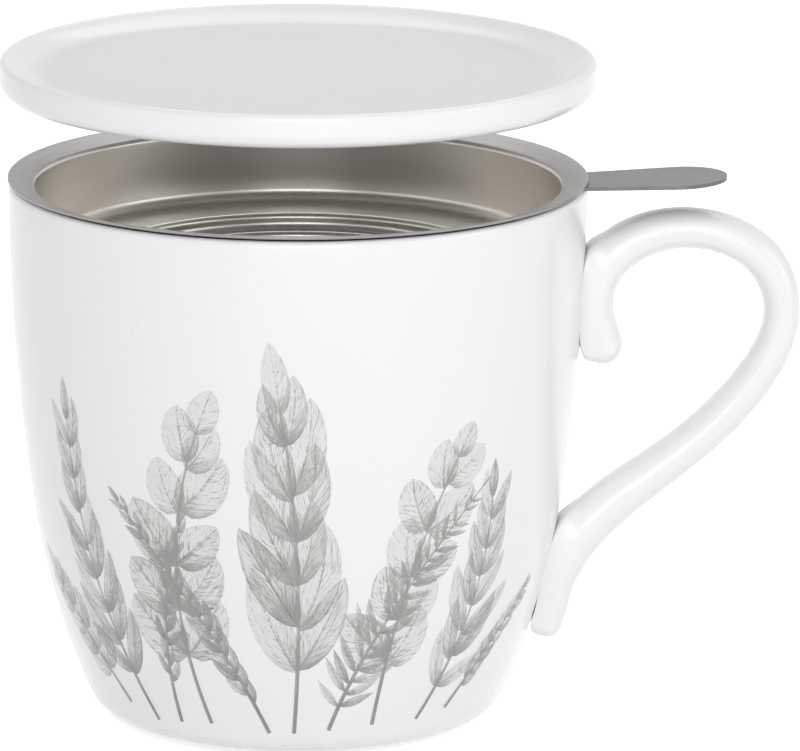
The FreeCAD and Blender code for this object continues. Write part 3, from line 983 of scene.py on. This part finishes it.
    def build(self) -> bpy.types.Object:
        """Makes the transfer and dresses it.

        Returns:
            The transfer.
        """
        chance = np.random.default_rng(self.seed)
        table = np.vstack([self.leaf_table(sprig, chance) for sprig in self.sprigs])
        table = table[chance.permutation(len(table))]
        parts = [self.leaves(table)]
        points_each = math.prod(self.leaf_grid)
        first = np.arange(len(table))[:, None, None] * points_each
        faces = [(grid_faces(*self.leaf_grid)[None] + first).reshape(-1, 4)]
        count = len(table) * points_each
        for number, sprig in enumerate(self.sprigs):
            parts.append(self.stem(sprig, len(table) + number))
            faces.append(grid_faces(*self.stem_grid) + count)
            count += math.prod(self.stem_grid)
        points, stroke, tone, seed = (np.concatenate(group) for group in zip(*parts))
        faces = np.vstack(faces)[:, ::-1]
        piece = new_piece("leaf_print", points, faces, 180)
        mesh = piece.data
        uv = mesh.uv_layers.new(name="stroke")
        corners = np.empty(len(mesh.loops), dtype=np.int32)
        mesh.loops.foreach_get("vertex_index", corners)
        uv.data.foreach_set("uv", stroke[corners].ravel())
        for name, values in (("tone", tone), ("seed", seed)):
            mesh.attributes.new(name, "FLOAT", "POINT").data.foreach_set("value", values)
        mesh.materials.append(Graphite().make("pencil_print"))
        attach(piece, "mug")
        return piece


@dataclass
class Lid:
    """The loose lid: a thick disc with a dished top and an upright edge."""

    dish: float = 39.0 * MM
    recess: float = 2.5 * MM
    brow: float = 0.9 * MM
    chin: float = 2.25 * MM
    ring: float = 38.0 * MM
    ring_width: float = 3.0 * MM
    ring_height: float = 0.8 * MM
    spans: int = 288

    def build(self) -> bpy.types.Object:
        """Makes the lid and dresses it.

        The brow is the small rounding at the top of the edge. The sweep is the hollow arc that
        leaves the flat middle level and meets the brow in line.

        Returns:
            The lid.
        """
        low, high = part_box("lid")
        radius = (high[0] - low[0]) / 2
        top = high[2]
        bottom = low[2] + self.ring_height
        crown = radius - self.brow
        across = crown - self.dish
        offset = self.recess - self.brow
        sweep = (across**2 + offset**2 - self.brow**2) / (2 * self.recess)
        angle = math.degrees(math.atan2(sweep - offset, across))
        ring_in = self.ring - self.ring_width
        soft = RING_ROUND
        chin = radius - self.chin
        profile = join(
            line((0, bottom), (ring_in - soft, bottom), 8),
            line((ring_in, bottom - soft), (ring_in, low[2] + soft), 1),
            arc((ring_in + soft, low[2] + soft), soft, 180, 270, 4),
            arc((self.ring - soft, low[2] + soft), soft, 270, 360, 4),
            line((self.ring, bottom - soft), (self.ring + soft, bottom), 1),
            line((self.ring + soft, bottom), (chin, bottom), 4),
            arc((chin, bottom + self.chin), self.chin, -90, 0, 20),
            line((radius, bottom + self.chin), (radius, top - self.brow), 4),
            arc((crown, top - self.brow), self.brow, 0, 180 - angle, 20),
            arc((self.dish, top - self.recess + sweep), sweep, -angle, -90, 24),
            line((self.dish, top - self.recess), (0, top - self.recess), 10),
        )
        piece = turned("lid_disc", profile, self.spans, 60)
        bare = (low[2] + 0.2 * MM, low[2] + 0.4 * MM)
        # Inside the dish the lid's top is painted greyer: painted shade.
        finish = Porcelain(bare_low=bare[0], bare_high=bare[1], shade_radius=self.dish)
        piece.data.materials.append(finish.make("glazed_lid"))
        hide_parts("lid")
        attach(piece, "lid")
        return piece


@dataclass
class Infuser:
    """The steel infuser: drawn pan, sieve and lifting tab."""

    shell: MugShell
    sheet: float = 0.5 * MM
    wall: float = 41.7 * MM
    bend: float = 0.9 * MM
    depth: float = 11.0 * MM
    fillet: float = 2.0 * MM
    neck: float = 31.0 * MM
    neck_depth: float = 2.6 * MM
    neck_fillet: float = 1.2 * MM
    collar: float = 28.7 * MM
    collar_depth: float = 6.0 * MM
    # The tab's two grain tones, set darker than the pan's satin steel: painted shade.
    tab_light: tuple = (0.175, 0.171, 0.168, 1.0)
    tab_dark: tuple = (0.14, 0.137, 0.134, 1.0)
    spans: int = 256

    def skin(self, inset: float) -> np.ndarray:
        """The pan's section line, moved inset metres below its upper face.

        Straight stretches joined by arcs: hollow corners grow by the inset, bends shrink by it.

        Args:
            inset: metres below the upper face.

        Returns:
            Radius and height of each point, from the flange's edge down to the collar's end.
        """
        slope = self.shell.slope
        tilt = math.degrees(math.atan(slope))
        run = math.hypot(1, slope)
        low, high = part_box("infuser_pan")
        edge = (high[0] - low[0]) / 2
        top = high[2]
        centre = self.wall + self.bend
        bend_height = top - slope * (edge - centre) - self.bend * run
        shelf = bend_height - self.depth
        ledge = shelf - self.neck_depth
        end = ledge - self.collar_depth
        bend = self.bend - inset
        wide = self.fillet + inset
        narrow = self.neck_fillet + inset
        face = top - inset * run
        corner = self.wall - self.fillet
        band = 2 * MM
        return join(
            line((edge - RIM_TRIM, face - slope * RIM_TRIM), (edge - band, face - band * slope), 3),
            arc((centre, bend_height), bend, 90 + tilt, 180, 8),
            line((self.wall + inset, bend_height), (self.wall + inset, shelf + self.fillet), 10),
            arc((corner, shelf + self.fillet), wide, 0, -90, 12),
            line((corner, shelf - inset), (self.neck + self.bend, shelf - inset), 8),
            arc((self.neck + self.bend, shelf - self.bend), bend, 90, 180, 8),
            arc((self.neck - self.neck_fillet, ledge + self.neck_fillet), narrow, 0, -90, 10),
            arc((self.collar + self.bend, ledge - self.bend), bend, 90, 180, 8),
            line((self.collar + inset, ledge - self.bend), (self.collar + inset, end), 6),
        )

    def build_pan(self) -> bpy.types.Object:
        """Makes the pan as one sheet with a rounded edge.

        Returns:
            The pan.
        """
        upper = self.skin(0.0)
        under = self.skin(self.sheet)
        low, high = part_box("infuser_pan")
        edge = (high[0] - low[0]) / 2
        rim = np.array([[edge, under[0, 1] + RIM_UNDERCUT], [edge, upper[0, 1] - RIM_TRIM]])
        profile = join(under[::-1], rim, upper)
        piece = turned("pan", profile, self.spans, 40)
        # Inside the wall the pan's colour is painted lighter as painted reflection; the flange
        # keeps the darker satin colour as painted shade.
        finish = SatinSteel(polish_radius=self.wall + 0.1 * MM)
        piece.data.materials.append(finish.make("satin_pan"))
        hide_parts("infuser_pan")
        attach(piece, "infuser")
        return piece

    def dress(self, nodes: tuple, material: bpy.types.Material) -> None:
        """Gives solids of the part a material on their own meshes.

        Args:
            nodes: the solids' names.
            material: what they are made of.
        """
        for node in nodes:
            for material_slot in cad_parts[node].material_slots:
                material_slot.material = material

    def build(self) -> bpy.types.Object:
        """Makes the pan, and dresses the sieve and the tab.

        Returns:
            The pan.
        """
        pan = self.build_pan()
        # The sieve lies wholly inside that radius and takes the lighter colour: painted reflection.
        sieve = SatinSteel(polish_radius=self.wall)
        self.dress(("sieve_sleeve", "sieve_floor"), sieve.make("satin_sieve"))
        # The tab is the pan's steel painted darker: painted shade.
        tab = SatinSteel(self.tab_light, self.tab_dark, grain=Grain.ALONG)
        self.dress(("infuser_tab",), tab.make("satin_tab"))
        return pan


# Studio


@dataclass(frozen=True)
class Studio:
    """Camera, lights, floor and background."""

    aim: tuple = (16.32 * MM, 0.0, 54.73 * MM)
    distance: float = 1.175
    elevation: float = 13.43
    roll: float = 0.31
    focal_pixels: float = 7364.0
    sensor: float = 36.0
    floor_reach: float = 6.0
    floor_glow: float = 0.62
    world_light: float = 0.5
    world_seen: float = 1.0

    def camera(self) -> None:
        """Looks along +Y from a little above, as the photograph does."""
        lift = math.radians(self.elevation)
        aim = Vector(self.aim)
        place = aim + Vector((0, -math.cos(lift), math.sin(lift))) * self.distance
        data = bpy.data.cameras.new("camera")
        data.sensor_width = self.sensor
        data.lens = self.focal_pixels / PHOTO_WIDTH * self.sensor
        data.clip_start = 0.05
        camera = bpy.data.objects.new("camera", data)
        tilt = Matrix.Rotation(math.radians(90) - lift, 4, "X")
        roll = Matrix.Rotation(math.radians(self.roll), 4, "Z")
        camera.matrix_world = Matrix.Translation(place) @ (tilt @ roll)
        bpy.context.scene.collection.objects.link(camera)
        bpy.context.scene.camera = camera

    def lamp(self, name: str, place: tuple, aim: tuple, size: float, power: float) -> None:
        """One soft square lamp.

        Args:
            name: the lamp's name.
            place: where it hangs.
            aim: the point it shines at.
            size: length of its side.
            power: watts.
        """
        data = bpy.data.lights.new(name, "AREA")
        data.shape = "SQUARE"
        data.size = size
        data.energy = power
        lamp = bpy.data.objects.new(name, data)
        lamp.location = place
        lamp.rotation_euler = (Vector(aim) - Vector(place)).to_track_quat("-Z", "Y").to_euler()
        bpy.context.scene.collection.objects.link(lamp)

    def seen_directly(self, kit: ShaderKit) -> Signal:
        """1 for rays that show the background: camera, glossy and clear ones.

        Args:
            kit: the material that asks.

        Returns:
            The signal.
        """
        path = kit.node("ShaderNodeLightPath", {}, {})
        rays = ("Is Camera Ray", "Is Glossy Ray", "Is Transmission Ray")
        seen = [Signal(kit, path.outputs[name]) for name in rays]
        return (seen[0] + seen[1] + seen[2]).maths("MINIMUM", 1.0)

    def floor(self) -> None:
        """A wide pale floor that keeps the object's shadow."""
        size = self.floor_reach
        points = np.array([[-size, -size, 0], [size, -size, 0], [size, size, 0], [-size, size, 0]])
        floor = new_piece("floor", points, [[0, 1, 2, 3]])
        kit = ShaderKit("pale_floor")
        kit.set(Base_Color=(0.86, 0.86, 0.86, 1.0), Roughness=0.9)
        strength = self.seen_directly(kit) * self.floor_glow
        glow = kit.node("ShaderNodeEmission", {}, {"Color": WHITE, "Strength": strength})
        both = kit.node("ShaderNodeAddShader", {}, {})
        kit.tree.links.new(kit.shader.outputs[0], both.inputs[0])
        kit.tree.links.new(glow.outputs[0], both.inputs[1])
        kit.tree.links.new(both.outputs[0], kit.output.inputs["Surface"])
        floor.data.materials.append(kit.material)

    def world(self) -> None:
        """White to the camera, softer as a light."""
        world = bpy.data.worlds.new("studio")
        bpy.context.scene.world = world
        world.use_nodes = True
        tree = world.node_tree
        tree.nodes.clear()
        path = tree.nodes.new("ShaderNodeLightPath")
        mix = tree.nodes.new("ShaderNodeMixShader")
        soft = tree.nodes.new("ShaderNodeBackground")
        white = tree.nodes.new("ShaderNodeBackground")
        seen = path.outputs["Is Camera Ray"]
        for ray in ("Is Glossy Ray", "Is Transmission Ray"):
            either = tree.nodes.new("ShaderNodeMath")
            either.operation = "MAXIMUM"
            tree.links.new(seen, either.inputs[0])
            tree.links.new(path.outputs[ray], either.inputs[1])
            seen = either.outputs[0]
        for node, strength in ((soft, self.world_light), (white, self.world_seen)):
            node.inputs["Color"].default_value = WHITE
            node.inputs["Strength"].default_value = strength
        output = tree.nodes.new("ShaderNodeOutputWorld")
        tree.links.new(seen, mix.inputs[0])
        tree.links.new(soft.outputs[0], mix.inputs[1])
        tree.links.new(white.outputs[0], mix.inputs[2])
        tree.links.new(mix.outputs[0], output.inputs["Surface"])

    def build(self) -> None:
        """Sets the whole studio up."""
        self.camera()
        self.lamp("key", (0.1, -0.85, 0.70), (0, 0, 0.06), 0.7, 1.8)
        self.lamp("front", (0.0, -1.25, 0.14), (0, 0, 0.05), 0.8, 5.4)
        self.lamp("right", (0.95, -0.35, 0.35), (0.03, 0, 0.05), 0.6, 1.5)
        self.lamp("left", (-0.95, -0.55, 0.3), (0, 0, 0.05), 0.6, 0.4)
        self.lamp("back", (0.05, 0.55, 0.75), (0, 0, 0.1), 0.5, 0.9)
        self.floor()
        self.world()
        bpy.context.scene.view_settings.view_transform = "Standard"


def main() -> None:
    """Builds the object, then the studio round it."""
    shell = MugShell()
    for part in (shell, LeafPrint(shell), Handle(shell), Lid(), Infuser(shell)):
        piece = part.build()
        log.info("%s: %d faces", piece.name, len(piece.data.polygons))
    Studio().build()


if __name__ == "__main__":
    main()
